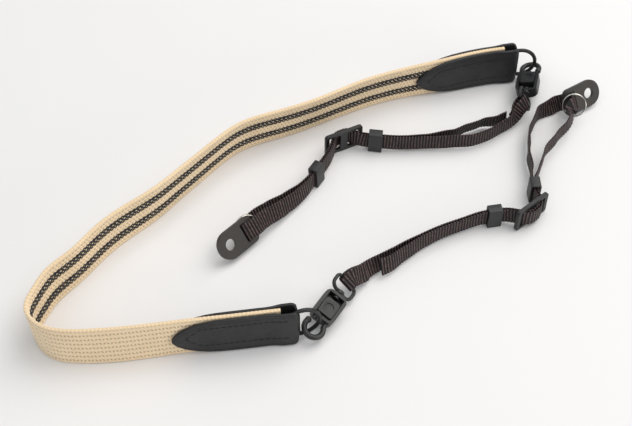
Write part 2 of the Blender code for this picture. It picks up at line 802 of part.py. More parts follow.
def lead_route(lead):
    """Middle line of the thin webbing with its width's direction and width: the sewn fold at the eye, the
    main layer, the fold through the protector's slot, and the free tail."""
    track = lead.track
    pitch = eye_wire / 2.0 + fold_clearance + lead_thickness / 2.0
    layer = (lead_thickness + layer_gap) / 2.0
    route = []

    def near_eye(distance, rest):
        return pitch + (rest - pitch) * smooth_step((distance - eye_wire / 2.0) / eye_blend)

    def width_at(distance):
        return lead_width * (fold_pinch + (1.0 - fold_pinch) * smooth_step(distance / eye_blend))

    steps = max(3, int(sewn_length / lead_step))
    for index in range(steps, -1, -1):
        distance = sewn_length * index / steps
        point, along, across, out = track.place(distance)
        main_here = near_eye(distance, lead.layer_offset(distance, "main"))
        route.append((point + out * (main_here - 2.0 * near_eye(distance, layer)), across, width_at(distance)))
    point, along, across, out = track.place(0.0)
    for index in range(1, 8):
        angle = math.pi * index / 8.0
        ray = -out * math.cos(angle) - along * math.sin(angle)
        route.append((point + ray * pitch, across, width_at(0.0)))
    count = int(lead.fold_at / lead_step)
    for index in range(count + 1):
        distance = lead.fold_at * index / count
        point, along, across, out = track.place(distance)
        main_here = near_eye(distance, lead.layer_offset(distance, "main"))
        route.append((point + out * main_here, across, width_at(distance)))
    point, along, across, out = track.place(lead.fold_at)
    for index in range(1, 8):
        angle = math.pi * index / 8.0
        ray = out * math.cos(angle) + along * math.sin(angle)
        route.append((point + ray * slot_fold_radius(), across, lead_width))
    count = int((lead.fold_at - lead.tail_start) / lead_step)
    for index in range(count + 1):
        distance = lead.fold_at + (lead.tail_start - lead.fold_at) * index / count
        point, along, across, out = track.place(distance)
        offset = out * lead.layer_offset(distance, "tail")
        route.append((point + offset, lead.tail_across(distance, across, out), lead_width))
    return route


def lead_webbing(name, lead):
    route = lead_route(lead)
    sections = []
    for index, (centre, across, width) in enumerate(route):
        before = route[max(index - 1, 0)][0]
        after = route[min(index + 1, len(route) - 1)][0]
        along = unit(after - before)
        across = unit(across - along * float(across @ along))
        sections.append(strip_section(centre, across, np.cross(along, across), width, lead_thickness))
    skin(name, sections)


def slot_fold_radius():
    return protector_thickness / 2.0 + fold_clearance + lead_thickness / 2.0


def keeper(name, lead, number):
    """Rectangular sleeve round both layers."""
    point, along, across, out = lead.frame(number)
    inner_height = lead_width + 2.0 * keeper_clearance
    inner_depth = 2.0 * lead_thickness + layer_gap + 2.0 * keeper_clearance
    frame = (point, across, out, along)
    half = keeper_length / 2.0
    outer = rounded_box_outline(
        -inner_height / 2.0 - keeper_wall, inner_height / 2.0 + keeper_wall,
        -inner_depth / 2.0 - keeper_wall, inner_depth / 2.0 + keeper_wall, (keeper_corner,) * 4, 2,
    )
    inner = rounded_box_outline(
        -inner_height / 2.0, inner_height / 2.0, -inner_depth / 2.0, inner_depth / 2.0,
        (keeper_corner / 2.0,) * 4, 2,
    )
    sleeve(name, frame, outer, inner, -half, half)


def sleeve(name, frame, outer, inner, low, high):
    """Tube between an outer and an inner outline with the same number of points."""
    origin, first, second, third = frame
    loops = []
    for outline, level in ((outer, low), (outer, high), (inner, high), (inner, low)):
        loops.append([origin + first * x + second * y + third * level for x, y in outline])
    return skin(name, loops, closed=True)


def buckle_height():
    return lead_width + 2.0 * buckle_clearance + 2.0 * buckle_rail


def buckle(name, lead):
    """Flat frame with three bars, the end bars rounded."""
    point, along, across, out = lead.frame(1)
    frame = (point, along, across, out)
    half_length = buckle_length / 2.0
    half_height = buckle_height() / 2.0
    outline = rounded_box_outline(
        -half_length, half_length, -half_height, half_height, (buckle_corner,) * 4, 3,
    )
    body = prism(name, outline, frame, -buckle_depth / 2.0, buckle_depth / 2.0)
    window = half_height - buckle_rail
    inner = half_length - buckle_bar
    for low, high in ((-inner, -buckle_middle / 2.0), (buckle_middle / 2.0, inner)):
        hole = box_in_frame(name + "_hole", frame, low, high, -window, window, -buckle_depth, buckle_depth)
        combine(body, hole, "DIFFERENCE")


def protector_slot():
    """Start and end of the slot along the protector, from the fold's centre."""
    reach = slot_fold_radius() + lead_thickness / 2.0 + slot_clearance
    return 0.0, reach


def lug_protector(name, lead):
    """Rounded plate with a round hole for the camera's lug and a slot for the lead."""
    point, along, across, out = lead.frame(3)
    frame = (point, along, across, out)
    half_width = protector_width / 2.0
    tail = -protector_tail
    tip = protector_length - protector_tail
    outline = rounded_box_outline(
        tail, tip, -half_width, half_width,
        (protector_corner, half_width * 0.96, half_width * 0.96, protector_corner), 7,
    )
    half = protector_thickness / 2.0
    body = prism(name, outline, frame, -half, half)
    start, end = protector_slot()
    slot_half = lead_width / 2.0 + slot_clearance
    slot = box_in_frame(name + "_slot", frame, start, end, -slot_half, slot_half, -half * 2.0, half * 2.0)
    combine(body, slot, "DIFFERENCE")
    hole_at = tail + protector_length * protector_hole_share
    hole = cylinder(
        name + "_hole", in_frame(frame, hole_at, 0.0, -half * 2.0), in_frame(frame, hole_at, 0.0, half * 2.0),
        protector_hole_radius, 28,
    )
    combine(body, hole, "DIFFERENCE")


def split_ring(name, lead, back, side, up, heading_deg, rise_deg):
    """Nearly two turns of wire, one on the other, round the tail of the lead. Its centre is measured from
    the fold in the protector's slot, and its axis has a heading and a rise."""
    point, along, across, out = lead.frame(3)
    centre = point - along * back + out * side + np.array([0.0, 0.0, up])
    heading = math.radians(heading_deg)
    rise = math.radians(rise_deg)
    flat = np.array([math.cos(heading), math.sin(heading), 0.0])
    normal = flat * math.cos(rise) + np.array([0.0, 0.0, math.sin(rise)])
    first = np.array([-math.sin(heading), math.cos(heading), 0.0])
    second = np.cross(normal, first)
    steps = int(26 * split_turns)
    sections = []
    for index in range(steps + 1):
        angle = 2.0 * math.pi * split_turns * index / steps
        ray = first * math.cos(angle) + second * math.sin(angle)
        level = (index / steps - 0.5) * split_pitch * split_turns
        level = min(max(level, -split_pitch * 0.5), split_pitch * 0.5)
        middle = centre + ray * split_radius + normal * level
        sections.append(circle_loop(middle, ray, normal, split_wire / 2.0, 6))
    skin(name, sections)


def set_origin(obj, origin):
    """Put an object's origin at a point in millimetres, with its mesh where it was."""
    place = np.array(origin) * MM
    for vertex in obj.data.vertices:
        vertex.co = tuple(np.array(vertex.co) - place)
    obj.location = tuple(place)
    obj.data.update()


def finish_pieces():
    """Give each object a material of its own, and shade its round faces smooth."""
    finishes = {row[0]: dict(zip(FINISH_COLUMNS, row)) for row in FINISH_ROWS}
    for obj in bpy.data.objects:
        ending = max((key for key in PIECE_FINISHES if obj.name.endswith(key)), key=len)
        finish = finishes[PIECE_FINISHES[ending]]
        material = bpy.data.materials.new(obj.name)
        material.use_nodes = True
        shader = material.node_tree.nodes["Principled BSDF"]
        shader.inputs["Base Color"].default_value = (finish["red"], finish["green"], finish["blue"], 1.0)
        shader.inputs["Roughness"].default_value = finish["roughness"]
        shader.inputs["Metallic"].default_value = finish["metallic"]
        obj.data.materials.clear()
        obj.data.materials.append(material)
        obj.data.shade_smooth()
        obj.data.set_sharp_from_angle(angle=math.radians(smooth_angle_deg))


def settle_on_base():
    """Move everything so that the origin is the middle of the base."""
    corners = []
    for obj in bpy.data.objects:
        corners += [tuple(vertex.co) for vertex in obj.data.vertices]
    corners = np.array(corners)
    low = corners.min(axis=0)
    high = corners.max(axis=0)
    shift = np.array([-(low[0] + high[0]) / 2.0, -(low[1] + high[1]) / 2.0, -low[2]])
    for obj in bpy.data.objects:
        for vertex in obj.data.vertices:
            vertex.co = tuple(np.array(vertex.co) + shift)
        obj.data.update()
    return shift / MM


def build():
    for obj in list(bpy.data.objects):
        bpy.data.objects.remove(obj, do_unlink=True)

    track = strap_track()
    shoulder_webbing(track)
    leather_end("far_leather_end", track, True)
    leather_end("near_leather_end", track, False)

    gates = []
    for row in END_ROWS:
        end = dict(zip(END_COLUMNS, row))
        prefix = end["end"]
        rows = NEAR_LEAD_ROWS if prefix == "near" else FAR_LEAD_ROWS
        centre, radial, across, normal = ring_frame(track, prefix == "far", end["ring_turn_deg"], end["ring_shift"])
        torus(prefix + "_ring", centre, radial, across, ring_radius, ring_wire, 30, 8)
        hook = centre + radial * ring_radius * end["hook_ahead"] + normal * ring_radius * end["hook_side"]
        hook = hook + across * ring_radius * end["hook_up"]
        frame = clasp_frame(hook, end["heading_deg"], end["rise_deg"], end["roll_deg"])
        gates.append(clasp(prefix, frame))
        bar, wide = clasp_eye(prefix, frame, end["eye_swivel_deg"])
        lead = Lead(bar, wide, end["lead_heading_deg"], rows, end["tail_start"])
        lead_webbing(prefix + "_lead_webbing", lead)
        keeper(prefix + "_inner_keeper", lead, 0)
        buckle(prefix + "_buckle", lead)
        keeper(prefix + "_outer_keeper", lead, 2)
        lug_protector(prefix + "_lug_protector", lead)
        split_ring(
            prefix + "_split_ring", lead, end["split_back"], end["split_side"], end["split_up"],
            end["split_heading_deg"], end["split_rise_deg"],
        )
    shift = settle_on_base()
    for gate, pin_point in gates:
        set_origin(gate, pin_point + shift)
    finish_pieces()


build()
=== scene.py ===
"""Looks of the coiled camera strap: knitted webbing with two rubber stripes, stitched leather ends, ribbed
nylon leads and moulded hardware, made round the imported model. Lengths are in millimetres, and a name that
ends in _m is in metres."""
import math

import bmesh
import bpy
import numpy as np
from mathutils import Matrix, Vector


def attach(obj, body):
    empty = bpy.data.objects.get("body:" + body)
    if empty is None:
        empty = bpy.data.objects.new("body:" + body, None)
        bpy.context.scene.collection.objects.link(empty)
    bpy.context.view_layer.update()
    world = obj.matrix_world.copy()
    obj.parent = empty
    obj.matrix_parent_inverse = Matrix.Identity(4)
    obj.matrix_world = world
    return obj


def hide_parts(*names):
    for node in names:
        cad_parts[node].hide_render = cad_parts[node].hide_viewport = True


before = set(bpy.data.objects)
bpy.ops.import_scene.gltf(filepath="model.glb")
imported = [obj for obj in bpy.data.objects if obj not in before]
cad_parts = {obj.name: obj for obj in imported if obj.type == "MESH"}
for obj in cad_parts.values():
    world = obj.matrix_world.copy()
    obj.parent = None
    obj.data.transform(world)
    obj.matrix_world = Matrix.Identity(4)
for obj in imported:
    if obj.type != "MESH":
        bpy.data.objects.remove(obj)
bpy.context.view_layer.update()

MM = 0.001
weld = 0.002

# View of the photograph: the point on the floor in the picture's middle, and how the camera stands to it
view_target_m = (-0.0118, -0.0068, 0.0)
view_elevation_deg = 50.0
view_distance_m = 0.6486
sensor_width = 36.0
lens_length = 68.35
floor_size_m = 6.0

# Wide webbing in its coil, as the model has it: a plan from the far end round to the near end, with the
# tilt of its top to the inside
coil_length = 250.0
coil_depth = 200.0
coil_shift = (-11.790, -6.742, 0.0875)
strap_width = 25.4
strap_thickness = 2.2
STRAP_COLUMNS = ("x_share", "y_share", "lean_deg")
STRAP_ROWS = (
    (0.438, 0.516, -2.0),
    (0.389, 0.5035, -2.0),
    (0.292, 0.472, 1.0),
    (0.196, 0.443, 6.0),
    (0.100, 0.3965, 7.0),
    (0.007, 0.3355, 9.0),
    (-0.084, 0.281, 8.0),
    (-0.174, 0.227, 7.0),
    (-0.218, 0.172, 6.0),
    (-0.259, 0.109, 5.0),
    (-0.300, 0.046, 4.0),
    (-0.339, -0.015, 2.0),
    (-0.378, -0.064, 0.0),
    (-0.417, -0.113, -2.0),
    (-0.454, -0.173, -3.0),
    (-0.489, -0.235, -3.0),
    (-0.525, -0.293, -5.0),
    (-0.546, -0.350, -4.0),
    (-0.555, -0.400, -3.0),
    (-0.538, -0.441, -1.0),
    (-0.510, -0.467, 2.0),
    (-0.472, -0.476, 3.0),
    (-0.424, -0.4765, 4.0),
    (-0.365, -0.4695, 4.0),
    (-0.249, -0.4445, 2.0),
    (-0.168, -0.431, 2.0),
    (-0.091, -0.4175, 2.0),
    (-0.068, -0.4135, 2.0),
)

# Knit of the wide webbing. Hole strengths and sharpness set how wide and deep the holes are, and how dark
# their painted shade is.
knit_step = 0.5
knit_points = 46
wale_pitch = 3.6
course_pitch = 3.2
stitch_slant = 0.5
stitch_hole_depth = 0.6
wale_groove_depth = 0.1
inner_pitch = 2.1
inner_hole_depth = 0.55
edge_pitch = 1.9
edge_bump = 0.15
edge_reach = 2.0
# Painted shade along the webbing's edges, deeper in the edge notches
edge_painted_shade_least = 0.32
edge_painted_shade_more = 0.16
outer_hole_strength = 1.2
outer_hole_sharpness = 2.4
outer_hole_between = 0.05
inner_hole_strength = 1.15
inner_hole_sharpness = 1.6
groove_sharpness = 6.0
coil_samples = 360
slope_reach = 0.05

# Rubber stripes of the inner face
stripe_pitch = 2.5
stripe_half_width = 1.25
stripe_radius = 0.6
stripe_edge = 2.0
stripe_edge_radius = 0.42
stripe_edge_swing = 0.15
stripe_sides = 6
stripe_edge_sides = 5
stripe_places = (0.205, -0.205)
stripe_steps = 8
stripe_inset = 9.0

# Leather
leather_step = 0.9
groove_inset = 1.8
stitch_pitch = 3.0
stitch_length = 2.35
stitch_radius = 0.27
stitch_start = 6.4
stitch_shoulder = 14.2
stitch_end = 58.0
stitch_half_gap = 6.6
stitch_shift = 0.6
stitch_turns = 6
stitch_sides = 6
groove_flare = 0.25
# How dark the painted shade in the leather's outer groove is
groove_painted_shade = 0.8

# Thin webbing
rib_pitch = 1.7
rib_steps = 6
rib_depth = 0.5
rib_narrowing = 0.35

# Hardware
edge_round = 0.35
plate_round = 0.3
wire_round = 0.12
smooth_angle_deg = 50.0
round_angle_deg = 35.0
ring_steps = 96
ring_sides = 16
wire_sides = 12


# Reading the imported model's lofted pieces

def cap_of(face, size):
    """Corners of the flat end that a face lies in, or None where the flat is another size."""
    flat = {face}
    rim = [face]
    while rim and len(flat) < size:
        here = rim.pop()
        for edge in here.edges:
            for other in edge.link_faces:
                if other not in flat and other.normal.dot(face.normal) > 0.99999:
                    flat.add(other)
                    rim.append(other)
    corners = {vertex.index for part in flat for vertex in part.verts}
    return corners if len(flat) == size - 2 and len(corners) == size else None


def layers_from(cap, near, size):
    """Loops of corners from one end cap to the other, or None where they don't all have the size."""
    found = [sorted(cap)]
    seen = set(cap)
    while True:
        after = set()
        for corner in found[-1]:
            after |= near[corner]
        after -= seen
        if not after:
            return found if len(seen) == len(near) else None
        if len(after) != size:
            return None
        seen |= after
        found.append(sorted(after))


def turned_round(corners, points):
    """Corners of a flat cap in order round it."""
    flat = points[corners] - points[corners].mean(0)
    axes = np.linalg.svd(flat)[2]
    angles = np.arctan2(flat @ axes[1], flat @ axes[0])
    return [corners[place] for place in np.argsort(angles)]


def walked_round(corners, near):
    """Corners of a loop in order round it."""
    loop = [corners[0]]
    while len(loop) < len(corners):
        loop.append(next(corner for corner in corners if corner in near[loop[-1]] and corner not in loop))
    return loop


def matched(loop, before, near, points):
    """The loop, started and turned so that its corners follow those of the loop before."""
    shift = points[before].mean(0) - points[loop].mean(0)
    best = None
    for turned in (loop, loop[::-1]):
        for start in range(len(loop)):
            order = turned[start:] + turned[:start]
            if all(after in near[first] for first, after in zip(before, order)):
                gap = float(np.linalg.norm(points[order] + shift - points[before], axis=1).sum())
                if best is None or gap < best[0]:
                    best = (gap, order)
    return best[1]


def node_loops(node, size):
    """Equal loops of points of a lofted node, in order along it."""
    work = bmesh.new()
    work.from_mesh(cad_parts[node].data)
    bmesh.ops.remove_doubles(work, verts=work.verts, dist=weld * MM)
    work.normal_update()
    work.verts.ensure_lookup_table()
    near = [{edge.other_vert(vertex).index for edge in vertex.link_edges} for vertex in work.verts]
    points = np.array([tuple(vertex.co) for vertex in work.verts]) / MM
    layers = None
    for face in work.faces:
        cap = cap_of(face, size)
        layers = layers_from(cap, near, size) if cap else None
        if layers:
            break
    work.free()
    if not layers:
        raise RuntimeError("no loops of " + str(size) + " points in " + node)
    loops = [turned_round(layers[0], points)]
    for layer in layers[1:-1]:
        loops.append(matched(walked_round(layer, near), loops[-1], near, points))
    loops.append(matched(turned_round(layers[-1], points), loops[-1], near, points))
    return np.array([points[loop] for loop in loops])


def unit_rows(vectors):
    return vectors / np.linalg.norm(vectors, axis=1)[:, None]


def cubic_through(knots, values, samples):
    """Natural cubic spline through the values at the knots."""
    count = len(knots)
    gaps = np.diff(knots)
    system = np.zeros((count, count))
    right = np.zeros((count, values.shape[1]))
    system[0, 0] = 1.0
    system[-1, -1] = 1.0
    for row in range(1, count - 1):
        system[row, row - 1] = gaps[row - 1]
        system[row, row] = 2.0 * (gaps[row - 1] + gaps[row])
        system[row, row + 1] = gaps[row]
        rise = (values[row + 1] - values[row]) / gaps[row]
        fall = (values[row] - values[row - 1]) / gaps[row - 1]
        right[row] = 6.0 * (rise - fall)
    bend = np.linalg.solve(system, right)
    place = np.clip(np.searchsorted(knots, samples) - 1, 0, count - 2)
    gap = gaps[place][:, None]
    before = (samples - knots[place])[:, None]
    after = (knots[place + 1] - samples)[:, None]
    curve = (bend[place] * after ** 3 + bend[place + 1] * before ** 3) / (6.0 * gap)
    curve += (values[place] / gap - bend[place] * gap / 6.0) * after
    curve += (values[place + 1] / gap - bend[place + 1] * gap / 6.0) * before
    return curve


class Strip:
    """A flat strip: its middle line, width and thickness, and the directions of its width and its face."""

    def __init__(self, middle, across, out, width, thickness):
        self.middle = middle
        self.across = across
        self.out = out
        self.width = width
        self.thickness = thickness
        steps = np.linalg.norm(np.diff(middle, axis=0), axis=1)
        self.distance = np.concatenate([[0.0], np.cumsum(steps)])
        self.length = float(self.distance[-1])

    def at(self, places):
        """Middle, across, out, width and thickness at distances along the strip."""
        places = np.asarray(places, float)
        inside = np.clip(places, 0.0, self.length)
        middle = cubic_through(self.distance, self.middle, inside)
        ahead = cubic_through(self.distance, self.middle, np.clip(inside + slope_reach, 0.0, self.length))
        behind = cubic_through(self.distance, self.middle, np.clip(inside - slope_reach, 0.0, self.length))
        along = unit_rows(ahead - behind)
        across = cubic_through(self.distance, self.across, inside)
        across = unit_rows(across - along * (across * along).sum(1)[:, None])
        guess = cubic_through(self.distance, self.out, inside)
        out = np.cross(along, across)
        out *= np.sign((out * guess).sum(1))[:, None]
        width = np.interp(inside, self.distance, self.width)
        thickness = np.interp(inside, self.distance, self.thickness)
        return middle + along * (places - inside)[:, None], across, out, width, thickness


def lofted_strip(node):
    """Strip of a node whose sections have four corners."""
    loops = node_loops(node, 4)
    edges = np.linalg.norm(np.roll(loops, -1, axis=1) - loops, axis=2).mean(0)
    loops = np.roll(loops, -int(np.argmax(edges)), axis=1)
    right = loops[:, 1:3].mean(1)
    left = (loops[:, 0] + loops[:, 3]) / 2.0
    low = loops[:, :2].mean(1)
    high = loops[:, 2:].mean(1)
    width = np.linalg.norm(right - left, axis=1)
    thickness = np.linalg.norm(high - low, axis=1)
    return Strip((low + high) / 2.0, unit_rows(right - left), unit_rows(high - low), width, thickness)


def coiled_strip():
    """Strip of the wide webbing, from its plan."""
    rows = np.array(STRAP_ROWS)
    x = rows[:, STRAP_COLUMNS.index("x_share")] * coil_length
    y = rows[:, STRAP_COLUMNS.index("y_share")] * coil_depth
    leans = rows[:, STRAP_COLUMNS.index("lean_deg")]
    tilt = np.radians(np.abs(leans))
    z = strap_width / 2.0 * np.cos(tilt) + strap_thickness / 2.0 * np.sin(tilt)
    forward = unit_rows(np.column_stack([np.gradient(x), np.gradient(y)]))
    inward = strap_width / 2.0 * np.sin(np.radians(leans))
    points = np.column_stack([x - forward[:, 1] * inward, y + forward[:, 0] * inward, z])
    chords = np.linalg.norm(np.diff(points, axis=0), axis=1)
    knots = np.concatenate([[0.0], np.cumsum(chords)])
    samples = np.linspace(0.0, knots[-1], coil_samples)
    smooth = cubic_through(knots, np.column_stack([points, leans]), samples)
    middle = smooth[:, :3] + np.array(coil_shift)
    along = unit_rows(np.gradient(middle, axis=0))
    side = unit_rows(np.column_stack([-along[:, 1], along[:, 0], np.zeros(len(along))]))
    up = np.cross(along, side)
    lean = np.radians(smooth[:, 3])[:, None]
    across = up * np.cos(lean) + side * np.sin(lean)
    out = side * np.cos(lean) - up * np.sin(lean)
    full = np.ones(len(middle))
    return Strip(middle, across, out, strap_width * full, strap_thickness * full)


# Making meshes

def new_object(name, points, faces, painted_shading=None):
    """Object from points in millimetres. The per-point shading values paint shade and highlight into the
    colour: 0 on raised places and 1 in hollows.
    """
    mesh = bpy.data.meshes.new(name)
    mesh.from_pydata((np.asarray(points) * MM).tolist(), [], faces)
    mesh.update()
    if painted_shading is not None:
        layer = mesh.attributes.new("painted_shading", "FLOAT", "POINT")
        layer.data.foreach_set("value", np.asarray(painted_shading, np.float32))
    obj = bpy.data.objects.new(name, mesh)
    bpy.context.scene.collection.objects.link(obj)
    return obj


def loft(name, rings, painted_shading):
    """Closed solid through equal rings of points, with flat ends."""
    count, size, _ = rings.shape
    faces = []
    for index in range(count - 1):
        here = index * size
        there = here + size
        for corner in range(size):
            after = (corner + 1) % size
            faces.append((here + corner, here + after, there + after, there + corner))
    faces.append(tuple(range(size))[::-1])
    faces.append(tuple((count - 1) * size + corner for corner in range(size)))
    obj = new_object(name, rings.reshape(-1, 3), faces, painted_shading.reshape(-1))
    work = bmesh.new()
    work.from_mesh(obj.data)
    bmesh.ops.recalc_face_normals(work, faces=work.faces)
    work.to_mesh(obj.data)
    work.free()
    obj.data.shade_smooth()
    obj.data.set_sharp_from_angle(angle=math.radians(60.0))
    return obj


def tube_mesh(points, first, second, radius, sides, closed=False):
    """Points and faces of a round tube along a line, with directions across it."""
    angles = 2.0 * math.pi * np.arange(sides) / sides
    radius = np.broadcast_to(np.asarray(radius, float), (len(points),))
    ring = first[:, None, :] * np.cos(angles)[None, :, None]
    ring = ring + second[:, None, :] * np.sin(angles)[None, :, None]
    rings = points[:, None, :] + ring * radius[:, None, None]
    count = len(points)
    faces = []
    for index in range(count if closed else count - 1):
        here = index * sides
        there = ((index + 1) % count) * sides
        for corner in range(sides):
            after = (corner + 1) % sides
            faces.append((here + corner, here + after, there + after, there + corner))
    if not closed:
        faces.append(tuple(range(sides))[::-1])
        faces.append(tuple((count - 1) * sides + corner for corner in range(sides)))
    return rings.reshape(-1, 3), faces


def joined(name, parts):
    """One object from many small meshes."""
    points = []
    faces = []
    start = 0
    for part_points, part_faces in parts:
        points.append(part_points)
        faces += [tuple(start + corner for corner in face) for face in part_faces]
        start += len(part_points)
    obj = new_object(name, np.concatenate(points), faces)
    work = bmesh.new()
    work.from_mesh(obj.data)
    bmesh.ops.recalc_face_normals(work, faces=work.faces)
    work.to_mesh(obj.data)
    work.free()
    obj.data.shade_smooth()
    return obj


def profile_points(rows, width, half):
    """Half of a strip's section, from the left edge to the right, with three points between its edges."""
    squeeze = np.minimum(1.0, width / 2.0 / (rows[-1][0] + 0.3))
    left = [(-width / 2.0 + inset * squeeze, half * level) for inset, level in rows]
    centre = [(width * share / 2.0 * 0.8, half) for share in (-0.5, 0.0, 0.5)]
    right = [(-across, level) for across, level in left[::-1]]
    return left + centre + right


# Materials

def material(name, base, roughness, metallic=0.0):
    made = bpy.data.materials.new(name)
    made.use_nodes = True
    nodes = made.node_tree.nodes
    shader = nodes["Principled BSDF"]
    shader.inputs["Base Color"].default_value = (*base, 1.0)
    shader.inputs["Roughness"].default_value = roughness
    shader.inputs["Metallic"].default_value = metallic
    return made, nodes, made.node_tree.links, shader


def noise(nodes, links, scale, detail=3.0, stretch=None):
    texture = nodes.new("ShaderNodeTexNoise")
    texture.inputs["Scale"].default_value = scale
    texture.inputs["Detail"].default_value = detail
    place = nodes.new("ShaderNodeTexCoord")
    if stretch is None:
        links.new(place.outputs["Object"], texture.inputs["Vector"])
        return texture.outputs["Fac"]
    mapping = nodes.new("ShaderNodeMapping")
    mapping.inputs["Scale"].default_value = stretch
    links.new(place.outputs["Object"], mapping.inputs["Vector"])
    links.new(mapping.outputs["Vector"], texture.inputs["Vector"])
    return texture.outputs["Fac"]


def colour_ramp(nodes, links, source, stops):
    ramp = nodes.new("ShaderNodeValToRGB")
    elements = ramp.color_ramp.elements
    elements[0].position = stops[0][0]
    elements[0].color = (*stops[0][1], 1.0)
    elements[1].position = stops[-1][0]
    elements[1].color = (*stops[-1][1], 1.0)
    for position, colour in stops[1:-1]:
        element = elements.new(position)
        element.color = (*colour, 1.0)
    links.new(source, ramp.inputs["Fac"])
    return ramp.outputs["Color"]


def mixed(nodes, links, first, second, share, blend="MIX"):
    mix = nodes.new("ShaderNodeMix")
    mix.data_type = "RGBA"
    mix.blend_type = blend
    mix.inputs["Factor"].default_value = share
    links.new(first, mix.inputs["A"])
    links.new(second, mix.inputs["B"])
    return mix.outputs["Result"]


def bumped(nodes, links, shader, height, distance_m, strength):
    bump = nodes.new("ShaderNodeBump")
    bump.inputs["Distance"].default_value = distance_m
    bump.inputs["Strength"].default_value = strength
    links.new(height, bump.inputs["Height"])
    links.new(bump.outputs["Normal"], shader.inputs["Normal"])


def ranged(nodes, links, source, low, high):
    step = nodes.new("ShaderNodeMapRange")
    step.inputs["To Min"].default_value = low
    step.inputs["To Max"].default_value = high
    links.new(source, step.inputs["Value"])
    return step.outputs["Result"]


def cotton_material():
    made, nodes, links, shader = material("sand_cotton", (0.70, 0.55, 0.36), 0.92)
    # Painted shade: the yarn colour is painted darker in the knit's holes and along the edges, by the
    # per-point shading value
    painted_shading = nodes.new("ShaderNodeAttribute")
    painted_shading.attribute_name = "painted_shading"
    yarn_and_painted_shading = colour_ramp(nodes, links, painted_shading.outputs["Fac"], (
        (0.0, (1.0, 0.80, 0.54)),
        (0.3, (0.97, 0.76, 0.50)),
        (0.7, (0.66, 0.48, 0.29)),
        (1.0, (0.36, 0.24, 0.13)),
    ))
    blotch = noise(nodes, links, 60.0)
    tint = colour_ramp(nodes, links, blotch, ((0.3, (0.93, 0.92, 0.90)), (0.7, (1.0, 1.0, 1.0))))
    links.new(mixed(nodes, links, yarn_and_painted_shading, tint, share=1.0, blend="MULTIPLY"), shader.inputs["Base Color"])
    shader.inputs["Sheen Weight"].default_value = 0.25
    shader.inputs["Sheen Roughness"].default_value = 0.6
    shader.inputs["Specular IOR Level"].default_value = 0.25
    bumped(nodes, links, shader, noise(nodes, links, 1900.0, 4.0), 0.0004, 0.55)
    return made


def rubber_material():
    made, nodes, links, shader = material("rubber_thread", (0.024, 0.025, 0.027), 0.6)
    links.new(ranged(nodes, links, noise(nodes, links, 900.0), 0.5, 0.75), shader.inputs["Roughness"])
    bumped(nodes, links, shader, noise(nodes, links, 2400.0), 0.0002, 0.5)
    return made


def leather_material():
    made, nodes, links, shader = material("black_leather", (0.020, 0.020, 0.021), 0.5)
    cells = nodes.new("ShaderNodeTexVoronoi")
    cells.inputs["Scale"].default_value = 1500.0
    place = nodes.new("ShaderNodeTexCoord")
    links.new(place.outputs["Object"], cells.inputs["Vector"])
    creases = noise(nodes, links, 420.0, 5.0)
    height = mixed(nodes, links, cells.outputs["Distance"], creases, share=0.55)
    bumped(nodes, links, shader, height, 0.00022, 0.55)
    colour = colour_ramp(nodes, links, noise(nodes, links, 130.0, 4.0), (
        (0.3, (0.009, 0.009, 0.010)), (0.7, (0.016, 0.016, 0.017)),
    ))
    # Painted shade: the outer groove is painted darker
    painted_shading = nodes.new("ShaderNodeAttribute")
    painted_shading.attribute_name = "painted_shading"
    dark = colour_ramp(nodes, links, painted_shading.outputs["Fac"], (
        (0.0, (1.0, 1.0, 1.0)), (1.0, (0.25, 0.25, 0.25)),
    ))
    links.new(mixed(nodes, links, colour, dark, share=1.0, blend="MULTIPLY"), shader.inputs["Base Color"])
    links.new(ranged(nodes, links, creases, 0.42, 0.62), shader.inputs["Roughness"])
    shader.inputs["Specular IOR Level"].default_value = 0.5
    return made


def thread_material():
    made, nodes, links, shader = material("black_thread", (0.010, 0.009, 0.009), 0.55)
    links.new(ranged(nodes, links, noise(nodes, links, 3000.0), 0.4, 0.7), shader.inputs["Roughness"])
    bumped(nodes, links, shader, noise(nodes, links, 5000.0), 0.0002, 0.6)
    return made


def nylon_material():
    made, nodes, links, shader = material("black_nylon", (0.015, 0.011, 0.011), 0.5)
    # Painted highlight, reddish-brown, on the rib tops and painted shade in the valleys between ribs
    painted_shading = nodes.new("ShaderNodeAttribute")
    painted_shading.attribute_name = "painted_shading"
    yarn_and_painted_shading = colour_ramp(nodes, links, painted_shading.outputs["Fac"], (
        (0.0, (0.105, 0.072, 0.068)), (0.3, (0.020, 0.013, 0.014)), (0.5, (0.002, 0.002, 0.002)),
    ))
    flecks = colour_ramp(nodes, links, noise(nodes, links, 900.0, 2.0), (
        (0.45, (0.7, 0.7, 0.7)), (0.65, (1.7, 1.5, 1.5)),
    ))
    links.new(mixed(nodes, links, yarn_and_painted_shading, flecks, share=1.0, blend="MULTIPLY"), shader.inputs["Base Color"])
    shader.inputs["Specular IOR Level"].default_value = 0.3
    bumped(nodes, links, shader, noise(nodes, links, 2600.0, 3.0), 0.00025, 0.7)
    return made


def plastic_material(name, base, roughness, grain=1400.0):
    made, nodes, links, shader = material(name, base, roughness)
    cloud = noise(nodes, links, 90.0, 4.0)
    colour = colour_ramp(nodes, links, cloud, (
        (0.25, tuple(0.82 * part for part in base)), (0.75, tuple(1.18 * part for part in base)),
    ))
    links.new(colour, shader.inputs["Base Color"])
    links.new(ranged(nodes, links, cloud, roughness - 0.06, roughness + 0.08), shader.inputs["Roughness"])
    bumped(nodes, links, shader, noise(nodes, links, grain, 4.0), 0.00012, 0.5)
    return made


